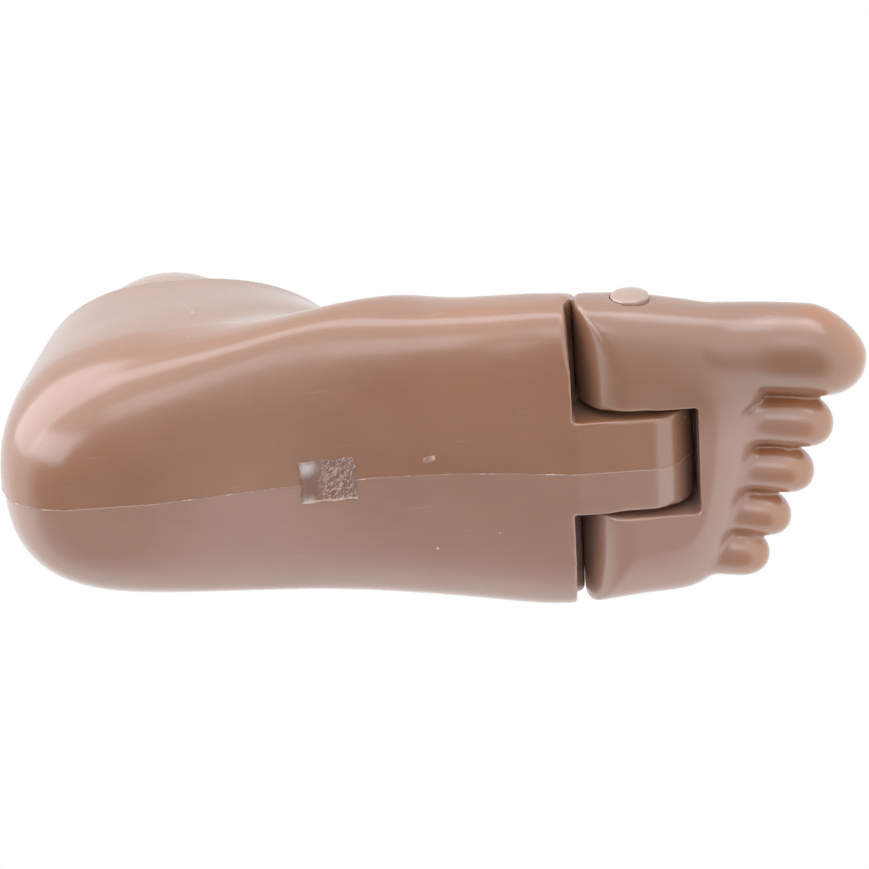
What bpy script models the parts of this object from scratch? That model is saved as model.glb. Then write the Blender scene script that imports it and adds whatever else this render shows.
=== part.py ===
"""A left prosthetic foot with a hinged toe section and a ball ankle.

The moulded foot is one smooth form, cut in two at the ball of the foot. The rear foot is two hollow half
shells that meet on a vertical parting plane; its tongue runs between the two ears of the toe section, and a
headed pin through all three is the toe hinge. A ball sits in a cup in the ankle: it tilts on a cross pin in a
spindle, and the spindle turns in the shells.

Lengths below are in millimetres, in the foot's own frame: +X towards the toes, +Y lateral (to the left), +Z
up, with the ground at z 0 and the parting plane at y 0. FRAME_SHIFT centres the finished foot on the origin.
"""

import math

import bmesh
import bpy
import numpy as np
from mathutils import Matrix, Vector

MM = 0.001
FRAME_SHIFT = (1.187, 0.375, 0.0)

# Toe hinge
HINGE_X = 56.0
HINGE_Z = 15.5
EAR_RADIUS = 15.8
TONGUE_RADIUS = 16.15
MEDIAL_SHOULDER_X = 38.1
LATERAL_SHOULDER_X = 37.4
LIP_X = 44.0
LIP_RADIUS = 16.15
SLOT_FLOOR_X = 72.6
TONGUE_MEDIAL = -15.4
TONGUE_LATERAL = 12.9
SIDE_GAP = 2.1
PIN_RADIUS = 4.0
PIN_HEAD_RADIUS = 5.35
PIN_HEAD_TOP = 47.2
PIN_HEAD_DEPTH = 3.0
PIN_CAP_TOP = 43.8
PIN_CAP_DEPTH = 2.4
BUSH_RADIUS = 6.5

# Ankle ball and its spindle
BALL_X = -76.5
BALL_Z = 88.6
BALL_RADIUS = 29.2
BALL_TOP = 23.0
SEAT_RADIUS = 29.6
SEAT_SHELL_RADIUS = 33.0
EYE_RADIUS = 9.5
BLADE_X = 4.8
BLADE_Y = 5.0
SPINDLE_RADIUS = 7.0
THREAD_RADIUS = 6.0
SPINDLE_END_Z = 26.0
BOSS_RADIUS = 11.0
BOSS_FOOT_Z = 38.0
TILT_DEGREES = 26.0
BALL_PIN_RADIUS = 2.9
BALL_PIN_END = -21.0
INSERT_RADIUS = 8.0
INSERT_BORE_RADIUS = 5.0
INSERT_LENGTH = 11.0

# Rear shells
RIM_Z = 80.0
WALL = 3.2
CAVITY_FRONT_X = 33.0
PARTING_GAP = 0.3
SCREW_RADIUS = 1.9
SCREW_HEAD_RADIUS = 4.0
SCREW_HEAD_HEIGHT = 2.8
SCREW_TIP_Y = -13.0
SCREW_BOSS_RADIUS = 5.5

CLEARANCE = 0.3
FAR = 200.0
ROUND_STEPS = 32

# The screws that hold the halves: name, x, z, and the y that the head sits on
SCREWS = (
    ("shell_screw_heel", -97.0, 27.0, 21.0),
    ("shell_screw_ankle", -37.0, 50.0, 22.0),
    ("shell_screw_arch", -30.0, 20.0, 26.0),
    ("shell_screw_hinge", 24.0, 16.5, 34.0),
)

# The foot's form, as rings from the ankle round the heel and along to the ball. Each ring lies in a plane
# through an upper point (instep side) and a lower point (heel or sole side), across the foot:
# upper x, upper z, lower x, lower z, medial half-width, lateral half-width, share of the height below the
# widest line, fullness above it, fullness below it on the medial side and on the lateral side, sweep of x per y
FORM_RINGS = (
    (-22.0, 88.0, -115.0, 88.0, 32.8, 31.5, 0.46, 2.35, 2.25, 2.3, 0.0),
    (-23.5, 80.0, -116.0, 80.0, 33.0, 31.0, 0.46, 2.35, 2.25, 2.3, 0.0),
    (-20.0, 73.5, -118.5, 64.0, 34.3, 31.0, 0.46, 2.35, 2.3, 2.4, 0.0),
    (-15.0, 68.0, -121.3, 46.0, 36.1, 32.0, 0.46, 2.3, 2.3, 2.6, 0.0),
    (-9.5, 63.5, -123.0, 30.0, 37.7, 32.7, 0.44, 2.25, 2.35, 2.7, 0.0),
    (-5.5, 60.0, -123.0, 17.0, 38.8, 33.2, 0.41, 2.2, 2.3, 2.8, 0.0),
    (-2.5, 57.0, -119.0, 6.0, 39.6, 33.8, 0.40, 2.2, 2.3, 2.9, 0.0),
    (0.5, 54.5, -108.5, -0.2, 40.8, 34.2, 0.40, 2.2, 2.3, 3.0, 0.0),
    (3.5, 52.3, -90.0, -1.0, 42.6, 34.8, 0.41, 2.3, 2.4, 3.2, 0.0),
    (7.0, 50.0, -67.0, 0.8, 44.8, 36.6, 0.43, 2.4, 2.5, 3.2, 0.0),
    (11.0, 47.0, -42.0, 5.4, 45.8, 39.8, 0.45, 2.5, 2.6, 3.2, 0.0),
    (15.5, 43.6, -16.0, 7.0, 44.0, 43.2, 0.45, 2.5, 2.75, 3.2, 0.0),
    (21.0, 40.0, 8.0, 5.6, 44.6, 45.8, 0.46, 2.6, 2.9, 3.2, 0.0),
    (30.0, 35.4, 27.0, 2.0, 46.2, 46.8, 0.46, 2.8, 3.2, 3.4, 0.0),
    (41.0, 32.0, 41.0, -0.8, 46.9, 45.7, 0.46, 2.8, 3.4, 3.6, 0.0),
    (56.0, 31.6, 56.0, -0.8, 46.0, 43.3, 0.46, 2.8, 3.4, 3.6, 0.0),
    (68.0, 30.2, 68.0, -0.8, 43.6, 43.2, 0.46, 2.7, 3.2, 3.4, -0.04),
    (77.0, 27.4, 76.5, -0.5, 42.0, 41.8, 0.45, 2.6, 2.9, 3.0, -0.10),
    (84.5, 23.0, 83.5, 1.8, 39.0, 38.8, 0.45, 2.4, 2.6, 2.6, -0.16),
    (89.0, 18.0, 88.0, 6.5, 32.0, 31.0, 0.45, 2.2, 2.2, 2.2, -0.20),
)

# How far the medial side is drawn in at the ground under the heel, as a share, and the height where that ends
DRAW_IN = 0.15
DRAW_IN_Z = 30.0

# The toes: root x y z, tip x y z, half-width, half-height, how full the tip is on its medial and lateral side
TOES = (
    ((76.0, -29.4, 13.4), (120.5, -25.8, 11.2), 13.1, 12.2, 1.6, 2.3),
    ((80.0, -8.2, 11.0), (110.9, -6.9, 8.7), 7.6, 8.0, 2.5, 2.9),
    ((78.0, 6.0, 10.4), (105.4, 7.4, 8.4), 7.1, 7.6, 2.3, 2.7),
    ((74.0, 18.8, 9.8), (98.7, 20.8, 8.0), 6.9, 7.2, 2.3, 2.6),
    ((68.0, 32.2, 9.6), (92.4, 32.2, 7.6), 7.2, 6.9, 2.2, 2.2),
)

PLASTIC = ("moulded_plastic", (0.36, 0.20, 0.135), 0.36, 0.0)
NYLON = ("nylon", (0.78, 0.76, 0.70), 0.45, 0.0)
STEEL = ("steel", (0.62, 0.62, 0.64), 0.28, 1.0)
BRASS = ("brass", (0.78, 0.60, 0.30), 0.30, 1.0)


# Scene, materials and placing


def clear_scene():
    for old in list(bpy.data.objects):
        bpy.data.objects.remove(old)


def make_collection(name):
    made = bpy.data.collections.new(name)
    bpy.context.scene.collection.children.link(made)
    return made


def material(spec):
    """The Principled material of a spec: name, colour, roughness, metallic."""
    name, colour, roughness, metallic = spec
    found = bpy.data.materials.get(name)
    if found:
        return found
    made = bpy.data.materials.new(name)
    made.use_nodes = True
    made.diffuse_color = (*colour, 1.0)
    shader = made.node_tree.nodes["Principled BSDF"]
    shader.inputs["Base Color"].default_value = (*colour, 1.0)
    shader.inputs["Roughness"].default_value = roughness
    shader.inputs["Metallic"].default_value = metallic
    return made


def make_object(name, mesh, collection):
    made = bpy.data.objects.new(name, mesh)
    collection.objects.link(made)
    return made


def helper(name, mesh):
    """An object that only cuts or joins."""
    made = make_object(name, mesh, CUTTERS)
    made.hide_render = True
    made.display_type = "WIRE"
    return made


def axis_empty(name, place):
    """An empty on a joint's axis, which the pieces that move with it are parented to."""
    made = bpy.data.objects.new(name, None)
    made.empty_display_size = 10 * MM
    made.location = Vector(place) * MM
    PARTS.objects.link(made)
    return made


def attach(piece, parent):
    """Parents a piece and leaves it where it is."""
    bpy.context.view_layer.update()
    piece.parent = parent
    piece.matrix_parent_inverse = parent.matrix_world.inverted()


# Basic shapes


def mesh_from(bm, name):
    mesh = bpy.data.meshes.new(name)
    bm.to_mesh(mesh)
    bm.free()
    return mesh


def box(name, low, high):
    low, high = Vector(low) * MM, Vector(high) * MM
    bm = bmesh.new()
    bmesh.ops.create_cube(bm, size=1.0)
    size = high - low
    bmesh.ops.transform(
        bm, verts=bm.verts, matrix=Matrix.Translation((low + high) / 2) @ Matrix.Diagonal((*size, 1.0))
    )
    return helper(name, mesh_from(bm, name))


def rod(name, radius, start, end, steps=ROUND_STEPS):
    """A cylinder between two points."""
    start, end = Vector(start) * MM, Vector(end) * MM
    along = end - start
    bm = bmesh.new()
    bmesh.ops.create_cone(
        bm, cap_ends=True, segments=steps, radius1=radius * MM, radius2=radius * MM, depth=along.length
    )
    turn = along.to_track_quat("Z", "Y").to_matrix().to_4x4()
    bmesh.ops.transform(bm, verts=bm.verts, matrix=Matrix.Translation((start + end) / 2) @ turn)
    return helper(name, mesh_from(bm, name))


def ball(name, radius, centre, steps=ROUND_STEPS):
    bm = bmesh.new()
    bmesh.ops.create_uvsphere(bm, u_segments=steps, v_segments=steps // 2, radius=radius * MM)
    bmesh.ops.translate(bm, verts=bm.verts, vec=Vector(centre) * MM)
    return helper(name, mesh_from(bm, name))


def turned(name, profile, closed, spec, steps=ROUND_STEPS):
    """A turned piece: a profile of (radius, height) points, spun about Z. It runs down the outer side."""
    mesh = bpy.data.meshes.new(name)
    count = len(profile)
    edges = [(i, (i + 1) % count) for i in range(count if closed else count - 1)]
    mesh.from_pydata([(r * MM, 0.0, h * MM) for r, h in profile], edges, [])
    piece = make_object(name, mesh, PARTS)
    spin = piece.modifiers.new("spin", "SCREW")
    spin.steps = spin.render_steps = steps
    spin.use_merge_vertices = True
    spin.merge_threshold = 0.00001
    piece.data.materials.append(material(spec))
    bake(piece)
    piece.data.shade_smooth()
    piece.data.set_sharp_from_angle(angle=math.radians(35))
    return piece


def place(piece, location, turn_x=0.0):
    piece.rotation_euler = (math.radians(turn_x), 0.0, 0.0)
    piece.location = Vector(location) * MM


def bake(piece):
    """Replaces an object's mesh with its evaluated one, so that its modifiers are done with."""
    graph = bpy.context.evaluated_depsgraph_get()
    mesh = bpy.data.meshes.new_from_object(piece.evaluated_get(graph))
    piece.modifiers.clear()
    piece.data = mesh


def combine(piece, operation, *others):
    """Cuts, joins or intersects a piece with helpers, which are used up."""
    for other in others:
        step = piece.modifiers.new(operation.lower(), "BOOLEAN")
        step.operation = operation
        step.object = other
        bpy.context.view_layer.update()
        bake(piece)
        bpy.data.objects.remove(other)
    return piece


def finished(name, piece, spec):
    """Makes a worked helper into a part of the foot."""
    CUTTERS.objects.unlink(piece)
    PARTS.objects.link(piece)
    piece.name = name
    piece.hide_render = False
    piece.display_type = "TEXTURED"
    piece.data.materials.clear()
    piece.data.materials.append(material(spec))
    piece.data.shade_smooth()
    piece.data.set_sharp_from_angle(angle=math.radians(35))
    return piece


# The foot's form


def smooth_rows(table, steps):
    """Rows on a cubic B-spline through the table, which flows more smoothly than the table's own rows."""
    rows = np.array(table, float)
    padded = np.vstack([2 * rows[0] - rows[1], rows, 2 * rows[-1] - rows[-2]])
    made = []
    for i in range(len(rows) - 1):
        a, b, c, d = padded[i : i + 4]
        for t in np.arange(steps) / steps:
            shares = ((1 - t) ** 3, 3 * t**3 - 6 * t**2 + 4, -3 * t**3 + 3 * t**2 + 3 * t + 1, t**3)
            made.append((shares[0] * a + shares[1] * b + shares[2] * c + shares[3] * d) / 6)
    return [*made, rows[-1]]


def half_outline(width, above, below, full_above, full_below, count):
    """Evenly spaced (across, up) points from the top of a ring down one side to its bottom."""
    turn = np.linspace(0.0, math.pi, 400)
    up, side = np.cos(turn), np.sin(turn).clip(0.0)
    fullness = np.where(up >= 0, full_above, full_below)
    height = np.where(up >= 0, above, below)
    across = width * side ** (2 / fullness)
    rise = height * np.sign(up) * np.abs(up) ** (2 / fullness)
    run = np.concatenate([[0.0], np.cumsum(np.hypot(np.diff(across), np.diff(rise)))])
    even = np.linspace(0.0, run[-1], count + 1)
    return np.interp(even, run, across), np.interp(even, run, rise)


def drawn_in(point):
    """The share of its width that a point keeps: the medial side narrows towards the ground, most at the heel."""
    if point.y > 0:
        return 1.0
    low = min(1.0, max(0.0, 1 - point.z / DRAW_IN_Z)) ** 1.5
    return 1 - DRAW_IN * low * min(1.0, max(0.0, -point.x / 50))


def ring_points(row, inset, count):
    """The points of one ring of the form, held in from its surface by inset, and never below the ground."""
    xt, zt, xb, zb, medial, lateral, low, full_top, full_medial, full_lateral, sweep = row
    top, bottom = Vector((xt, 0.0, zt)), Vector((xb, 0.0, zb))
    height = (top - bottom).length
    up = (top - bottom) / height
    widest = bottom + up * height * low
    above, below = height * (1 - low) - inset, height * low - inset
    sides = []
    for width, full_bottom, sign in ((lateral - inset, full_lateral, 1.0), (medial - inset, full_medial, -1.0)):
        across, rise = half_outline(width, above, below, full_top, full_bottom, count)
        sides.append([widest + up * float(r) + Vector((0.0, sign * float(w), 0.0)) for w, r in zip(across, rise)])
    ring = sides[0] + sides[1][-2:0:-1]
    return [Vector((p.x + sweep * p.y, p.y * drawn_in(p), max(p.z, inset))) for p in ring]


def loft(name, rings):
    """A closed mesh over rings of equal count, with flat ends."""
    bm = bmesh.new()
    rows = [[bm.verts.new(p * MM) for p in ring] for ring in rings]
    count = len(rows[0])
    for a, b in zip(rows, rows[1:]):
        for i in range(count):
            j = (i + 1) % count
            bm.faces.new((a[i], a[j], b[j], b[i]))
    bm.faces.new(rows[0][::-1])
    bm.faces.new(rows[-1])
    bmesh.ops.recalc_face_normals(bm, faces=bm.faces)
    return helper(name, mesh_from(bm, name))


def foot_form(name, inset=0.0, steps=2, half_count=20):
    rows = smooth_rows(FORM_RINGS, steps)
    return loft(name, [ring_points(row, inset, half_count) for row in rows])


def toe_form(name, root, tip, half_width, half_height, full_medial, full_lateral, rings=9, count=18):
    """One toe: a thick finger from its root in the ball of the foot, arched a little, with a round end."""
    root, tip = Vector(root), Vector(tip)
    end_share = min(0.45, 1.15 * half_width / (tip.x - root.x))
    made = []
    for i in range(rings + 1):
        share = math.sin(math.pi / 2 * i / rings)
        spot = root.lerp(tip, share)
        spot.z += 0.12 * half_height * math.sin(math.pi * share)
        into_end = min(1.0, max(0.0, (share - (1 - end_share)) / end_share))
        size = [max((1 - into_end**full) ** (1 / full), 0.12) for full in (full_medial, 2.0, full_lateral)]
        ring = []
        for a in (2 * math.pi * k / count for k in range(count)):
            wide = half_width * size[2 if math.cos(a) > 0 else 0]
            ring.append(spot + Vector((0.0, wide * math.cos(a), half_height * size[1] * math.sin(a))))
        made.append(ring)
    return loft(name, made)


# The rear foot


def rear_envelope():
    """Everything behind the shoulders, a lip above each that arches over the ears, and the round-ended tongue."""
    envelope = box("rear_space", (-FAR, -FAR, -FAR), (LATERAL_SHOULDER_X, FAR, FAR))
    lip = box("lip", (20, -FAR / 2, HINGE_Z), (LIP_X, FAR / 2, FAR / 2))
    sweep = rod("ear_sweep", LIP_RADIUS, (HINGE_X, -FAR, HINGE_Z), (HINGE_X, FAR, HINGE_Z), 2 * ROUND_STEPS)
    combine(lip, "DIFFERENCE", sweep)
    shoulder = box("medial_shoulder", (0, -FAR / 2, -FAR / 2), (MEDIAL_SHOULDER_X, -5, FAR / 2))
    tongue = box("tongue_space", (20, TONGUE_MEDIAL, -FAR / 3), (HINGE_X, TONGUE_LATERAL, FAR / 3))
    end = rod(
        "tongue_end",
        TONGUE_RADIUS,
        (HINGE_X, TONGUE_MEDIAL, HINGE_Z),
        (HINGE_X, TONGUE_LATERAL, HINGE_Z),
        2 * ROUND_STEPS,
    )
    return combine(envelope, "UNION", lip, shoulder, tongue, end)


def rear_cavity():
    """The hollow of the rear foot, which leaves the walls, the ankle's cup and the posts for the screws."""
    hollow = foot_form("cavity", inset=WALL, steps=1, half_count=13)
    combine(hollow, "INTERSECT", box("cavity_limits", (-FAR, -FAR, -FAR), (CAVITY_FRONT_X, FAR, RIM_Z - WALL)))
    keep = [
        ball("cup_wall", SEAT_SHELL_RADIUS, (BALL_X, 0, BALL_Z), 40),
        rod("spindle_boss", BOSS_RADIUS, (BALL_X, 0, BOSS_FOOT_Z), (BALL_X, 0, BALL_Z - 9), 28),
    ]
    for name, x, z, _ in SCREWS:
        keep.append(rod(name + "_boss", SCREW_BOSS_RADIUS, (x, -FAR / 2, z), (x, FAR / 2, z), 16))
    return combine(hollow, "DIFFERENCE", *keep)


def rear_solid():
    solid = foot_form("rear_solid")
    combine(solid, "INTERSECT", rear_envelope())
    cuts = [
        box("above_rim", (-FAR, -FAR, RIM_Z), (FAR, FAR, FAR)),
        ball("ball_seat", SEAT_RADIUS, (BALL_X, 0, BALL_Z), 40),
        rear_cavity(),
        rod("spindle_bore", SPINDLE_RADIUS + CLEARANCE, (BALL_X, 0, 20), (BALL_X, 0, BALL_Z - 9), 28),
        rod("bush_bore", BUSH_RADIUS + CLEARANCE, (HINGE_X, -30, HINGE_Z), (HINGE_X, 30, HINGE_Z)),
    ]
    for name, x, z, seat in SCREWS:
        cuts.append(rod(name + "_hole", SCREW_RADIUS + CLEARANCE, (x, SCREW_TIP_Y - 2, z), (x, seat + 1, z), 16))
        cuts.append(rod(name + "_recess", SCREW_HEAD_RADIUS + CLEARANCE, (x, seat, z), (x, FAR / 2, z), 24))
    return combine(solid, "DIFFERENCE", *cuts)


def make_rear_shells():
    """The two half shells, with the parting gap between them."""
    whole = rear_solid()
    other = helper("rear_copy", whole.data.copy())
    half_gap = PARTING_GAP / 2
    combine(whole, "DIFFERENCE", box("lateral_side", (-FAR, -half_gap, -FAR), (FAR, FAR, FAR)))
    combine(other, "DIFFERENCE", box("medial_side", (-FAR, -FAR, -FAR), (FAR, half_gap, FAR)))
    return [finished("rear_shell_medial", whole, PLASTIC), finished("rear_shell_lateral", other, PLASTIC)]


def make_screws():
    """Pan-head screws, driven from the lateral side into posts of the medial half."""
    made = []
    for name, x, z, seat in SCREWS:
        length = seat - SCREW_TIP_Y
        edge = 0.8
        screw = turned(
            name,
            (
                (0.0, SCREW_HEAD_HEIGHT),
                (SCREW_HEAD_RADIUS - edge, SCREW_HEAD_HEIGHT),
                (SCREW_HEAD_RADIUS, SCREW_HEAD_HEIGHT - edge),
                (SCREW_HEAD_RADIUS, 0.0),
                (SCREW_RADIUS, 0.0),
                (SCREW_RADIUS, 2.0 - length),
                (0.0, -length),
            ),
            False,
            STEEL,
            16,
        )
        for arm in ((2.4, 0.45), (0.45, 2.4)):
            slot = box(name + "_drive", (-arm[0], -arm[1], 1.2), (arm[0], arm[1], 5))
            combine(screw, "DIFFERENCE", slot)
        place(screw, (x, seat + CLEARANCE, z), -90)
        made.append(screw)
    return made


def make_hinge_bush():
    half = (TONGUE_LATERAL - TONGUE_MEDIAL) / 2 - CLEARANCE
    inner = PIN_RADIUS + CLEARANCE
    bush = turned(
        "hinge_bush", ((inner, half), (BUSH_RADIUS, half), (BUSH_RADIUS, -half), (inner, -half)), True, NYLON
    )
    place(bush, (HINGE_X, (TONGUE_LATERAL + TONGUE_MEDIAL) / 2, HINGE_Z), 90)
    return bush


# The toe section


def toe_envelope():
    """Everything ahead of the hinge's axis and the ears' round backs, less the slot for the tongue."""
    envelope = box("front_space", (HINGE_X, -FAR, -FAR), (FAR, FAR, FAR))
    back = rod("ear_backs", EAR_RADIUS, (HINGE_X, -FAR / 2, HINGE_Z), (HINGE_X, FAR / 2, HINGE_Z), 2 * ROUND_STEPS)
    combine(envelope, "UNION", back)
    slot = box(
        "tongue_slot",
        (0, TONGUE_MEDIAL - SIDE_GAP, -FAR / 2),
        (SLOT_FLOOR_X, TONGUE_LATERAL + SIDE_GAP, FAR / 2),
    )
    return combine(envelope, "DIFFERENCE", slot)


def make_toe_body():
    body = foot_form("toe_solid")
    combine(body, "UNION", *[toe_form(f"toe_{n}", *toe) for n, toe in enumerate(TOES, 1)])
    combine(body, "INTERSECT", toe_envelope())
    seat = PIN_HEAD_RADIUS + CLEARANCE
    combine(
        body,
        "DIFFERENCE",
        rod("pin_hole", PIN_RADIUS + CLEARANCE, (HINGE_X, -FAR / 2, HINGE_Z), (HINGE_X, FAR / 2, HINGE_Z)),
        rod(
            "head_seat",
            seat,
            (HINGE_X, -FAR / 2, HINGE_Z),
            (HINGE_X, PIN_HEAD_DEPTH - PIN_HEAD_TOP, HINGE_Z),
        ),
        rod(
            "cap_seat",
            seat,
            (HINGE_X, PIN_CAP_TOP - PIN_CAP_DEPTH, HINGE_Z),
            (HINGE_X, FAR / 2, HINGE_Z),
        ),
    )
    return finished("toe_body", body, PLASTIC)


def make_hinge_pin():
    """The pin, whose low domed head shows on the medial side. Its far end stops in the cap."""
    under_head = PIN_HEAD_DEPTH - CLEARANCE
    length = PIN_HEAD_TOP + PIN_CAP_TOP - 1.0
    pin = turned(
        "hinge_pin",
        (
            (0.0, 0.0),
            (2.2, -0.12),
            (3.9, -0.45),
            (PIN_HEAD_RADIUS - 0.35, -0.9),
            (PIN_HEAD_RADIUS, -1.3),
            (PIN_HEAD_RADIUS, -under_head),
            (PIN_RADIUS, -under_head),
            (PIN_RADIUS, 0.8 - length),
            (PIN_RADIUS - 0.8, -length),
            (0.0, -length),
        ),
        False,
        PLASTIC,
    )
    place(pin, (HINGE_X, -PIN_HEAD_TOP, HINGE_Z), 90)
    return pin


def make_pin_cap():
    """The cap pressed over the pin's lateral end."""
    bore = PIN_RADIUS + CLEARANCE
    cap = turned(
        "hinge_pin_cap",
        (
            (0.0, 0.0),
            (3.4, -0.15),
            (PIN_HEAD_RADIUS - 0.4, -0.5),
            (PIN_HEAD_RADIUS, -0.9),
            (PIN_HEAD_RADIUS, CLEARANCE - PIN_CAP_DEPTH),
            (bore, CLEARANCE - PIN_CAP_DEPTH),
            (bore, -0.7),
            (0.0, -0.7),
        ),
        False,
        PLASTIC,
    )
    place(cap, (HINGE_X, PIN_CAP_TOP, HINGE_Z), -90)
    return cap


def make_hinge_washers():
    """A thin washer on the pin, each side of the tongue, which keeps the toe section central."""
    half = SIDE_GAP / 2 - CLEARANCE
    inner, outer = PIN_RADIUS + CLEARANCE, 9.0
    spots = (
        ("hinge_washer_medial", TONGUE_MEDIAL - SIDE_GAP / 2),
        ("hinge_washer_lateral", TONGUE_LATERAL + SIDE_GAP / 2),
    )
    made = []
    for name, y in spots:
        washer = turned(name, ((inner, half), (outer, half), (outer, -half), (inner, -half)), True, NYLON)
        place(washer, (HINGE_X, y, HINGE_Z), 90)
        made.append(washer)
    return made


# The ankle


def wedge(name, top_half, bottom_half, half_width, top_z, bottom_z):
    """A block across the ankle that is longer at its foot, in the ball's own frame."""
    bm = bmesh.new()
    bmesh.ops.create_cube(bm, size=2.0)
    for vert in bm.verts:
        half, z = (top_half, top_z) if vert.co.z > 0 else (bottom_half, bottom_z)
        vert.co = Vector((vert.co.x * half + BALL_X, vert.co.y * half_width, z + BALL_Z)) * MM
    return helper(name, mesh_from(bm, name))


def make_ankle_ball():
    """The ball, flat on top for the leg, with a slot below that lets it tilt over the spindle's eye."""
    shape = ball("ball_blank", BALL_RADIUS, (BALL_X, 0, BALL_Z), 40)
    eye_room = EYE_RADIUS + 3 * CLEARANCE
    lean = math.radians(TILT_DEGREES)
    mouth = (SEAT_RADIUS + 1) * math.tan(lean) + BLADE_X / math.cos(lean) + CLEARANCE
    room = BLADE_Y + CLEARANCE
    top = BALL_Z + BALL_TOP
    combine(
        shape,
        "DIFFERENCE",
        box("above_ball", (-FAR, -FAR, top), (FAR, FAR, FAR)),
        wedge("tilt_slot", eye_room, mouth, room, 0.0, -SEAT_RADIUS - 1),
        rod("eye_room", eye_room, (BALL_X, -room, BALL_Z), (BALL_X, room, BALL_Z)),
        rod(
            "ball_pin_hole",
            BALL_PIN_RADIUS + CLEARANCE,
            (BALL_X, BALL_PIN_END - CLEARANCE, BALL_Z),
            (BALL_X, FAR / 2, BALL_Z),
            24,
        ),
        rod(
            "insert_pocket",
            INSERT_RADIUS + CLEARANCE,
            (BALL_X, 0, top - INSERT_LENGTH - CLEARANCE),
            (BALL_X, 0, top + 5),
        ),
    )
    return finished("ankle_ball", shape, PLASTIC)


def make_ball_pin():
    """The cross pin, in a hole that is blind on the medial side."""
    middle = (BALL_RADIUS - 1.2 + BALL_PIN_END) / 2
    reach = middle - BALL_PIN_END
    radius = BALL_PIN_RADIUS
    pin = turned(
        "ball_pin",
        (
            (0.0, reach),
            (radius - 0.5, reach),
            (radius, reach - 0.5),
            (radius, 0.5 - reach),
            (radius - 0.5, -reach),
            (0.0, -reach),
        ),
        False,
        STEEL,
        24,
    )
    place(pin, (BALL_X, middle, BALL_Z), 90)
    return pin


def make_leg_insert():
    """The threaded insert in the top of the ball that the leg's bolt goes into."""
    inner, outer = INSERT_BORE_RADIUS, INSERT_RADIUS
    groove = outer - 0.7
    insert = turned(
        "leg_insert",
        (
            (inner, 0.0),
            (outer, 0.0),
            (outer, -3.5),
            (groove, -4.2),
            (groove, -6.8),
            (outer, -7.5),
            (outer, -INSERT_LENGTH),
            (inner, -INSERT_LENGTH),
        ),
        True,
        BRASS,
    )
    place(insert, (BALL_X, 0, BALL_Z + BALL_TOP))
    return insert


def make_ankle_spindle():
    """The spindle: an eye on a flat blade, which the ball is pinned to, over a round stem and a thread."""
    blade_foot = BALL_Z - SEAT_RADIUS - 2
    blade = box(
        "blade",
        (BALL_X - BLADE_X, -BLADE_Y, blade_foot - 1),
        (BALL_X + BLADE_X, BLADE_Y, BALL_Z),
    )
    combine(
        blade,
        "UNION",
        rod("eye", EYE_RADIUS, (BALL_X, -BLADE_Y, BALL_Z), (BALL_X, BLADE_Y, BALL_Z)),
        rod("stem", SPINDLE_RADIUS, (BALL_X, 0, BOSS_FOOT_Z), (BALL_X, 0, blade_foot)),
        rod("thread", THREAD_RADIUS, (BALL_X, 0, SPINDLE_END_Z), (BALL_X, 0, BOSS_FOOT_Z + 1)),
    )
    combine(
        blade,
        "DIFFERENCE",
        rod("eye_hole", BALL_PIN_RADIUS + CLEARANCE, (BALL_X, -20, BALL_Z), (BALL_X, 20, BALL_Z), 24),
    )
    return finished("ankle_spindle", blade, STEEL)


def make_spindle_washer():
    inner, outer, thick = THREAD_RADIUS + CLEARANCE, BOSS_RADIUS, 1.6
    washer = turned("spindle_washer", ((inner, 0.0), (outer, 0.0), (outer, -thick), (inner, -thick)), True, STEEL)
    place(washer, (BALL_X, 0, BOSS_FOOT_Z - CLEARANCE))
    return washer


def make_spindle_nut():
    """The hexagon nut that holds the spindle in the shells."""
    top = BOSS_FOOT_Z - 2 * CLEARANCE - 1.6
    nut = rod("nut_blank", 10.0, (BALL_X, 0, top - 6.5), (BALL_X, 0, top), 6)
    bore = rod("nut_bore", THREAD_RADIUS + CLEARANCE, (BALL_X, 0, 0), (BALL_X, 0, BALL_Z))
    combine(nut, "DIFFERENCE", bore)
    return finished("spindle_nut", nut, STEEL)


def main():
    toe_axis = axis_empty("toe_hinge_axis", (HINGE_X, 0, HINGE_Z))
    turn_axis = axis_empty("ankle_turn_axis", (BALL_X, 0, BOSS_FOOT_Z))
    tilt_axis = axis_empty("ankle_tilt_axis", (BALL_X, 0, BALL_Z))
    foot = axis_empty("foot_origin", (0, 0, 0))
    groups = (
        (foot, [*make_rear_shells(), *make_screws(), make_hinge_bush()]),
        (toe_axis, [make_toe_body(), make_hinge_pin(), make_pin_cap(), *make_hinge_washers()]),
        (turn_axis, [make_ankle_spindle(), make_spindle_washer(), make_spindle_nut()]),
        (tilt_axis, [make_ankle_ball(), make_ball_pin(), make_leg_insert()]),
    )
    for parent, pieces in groups:
        for piece in pieces:
            attach(piece, parent)
    attach(tilt_axis, turn_axis)
    attach(turn_axis, foot)
    attach(toe_axis, foot)
    foot.location = Vector(FRAME_SHIFT) * MM


clear_scene()
PARTS = make_collection("prosthetic_foot")
CUTTERS = make_collection("cutters")
main()
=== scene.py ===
"""The looks of the prosthetic foot: smooth moulded plastic in place of the faceted shells, and its lighting.

Lengths are in millimetres in the foot's own frame unless a name says otherwise: +X towards the toes, +Y
lateral, +Z up, ground at z 0 and the parting plane at y 0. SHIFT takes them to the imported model's frame.
"""

import math

import bmesh
import bpy
import numpy as np
from mathutils import Matrix, Vector, noise
from mathutils.bvhtree import BVHTree


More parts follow.
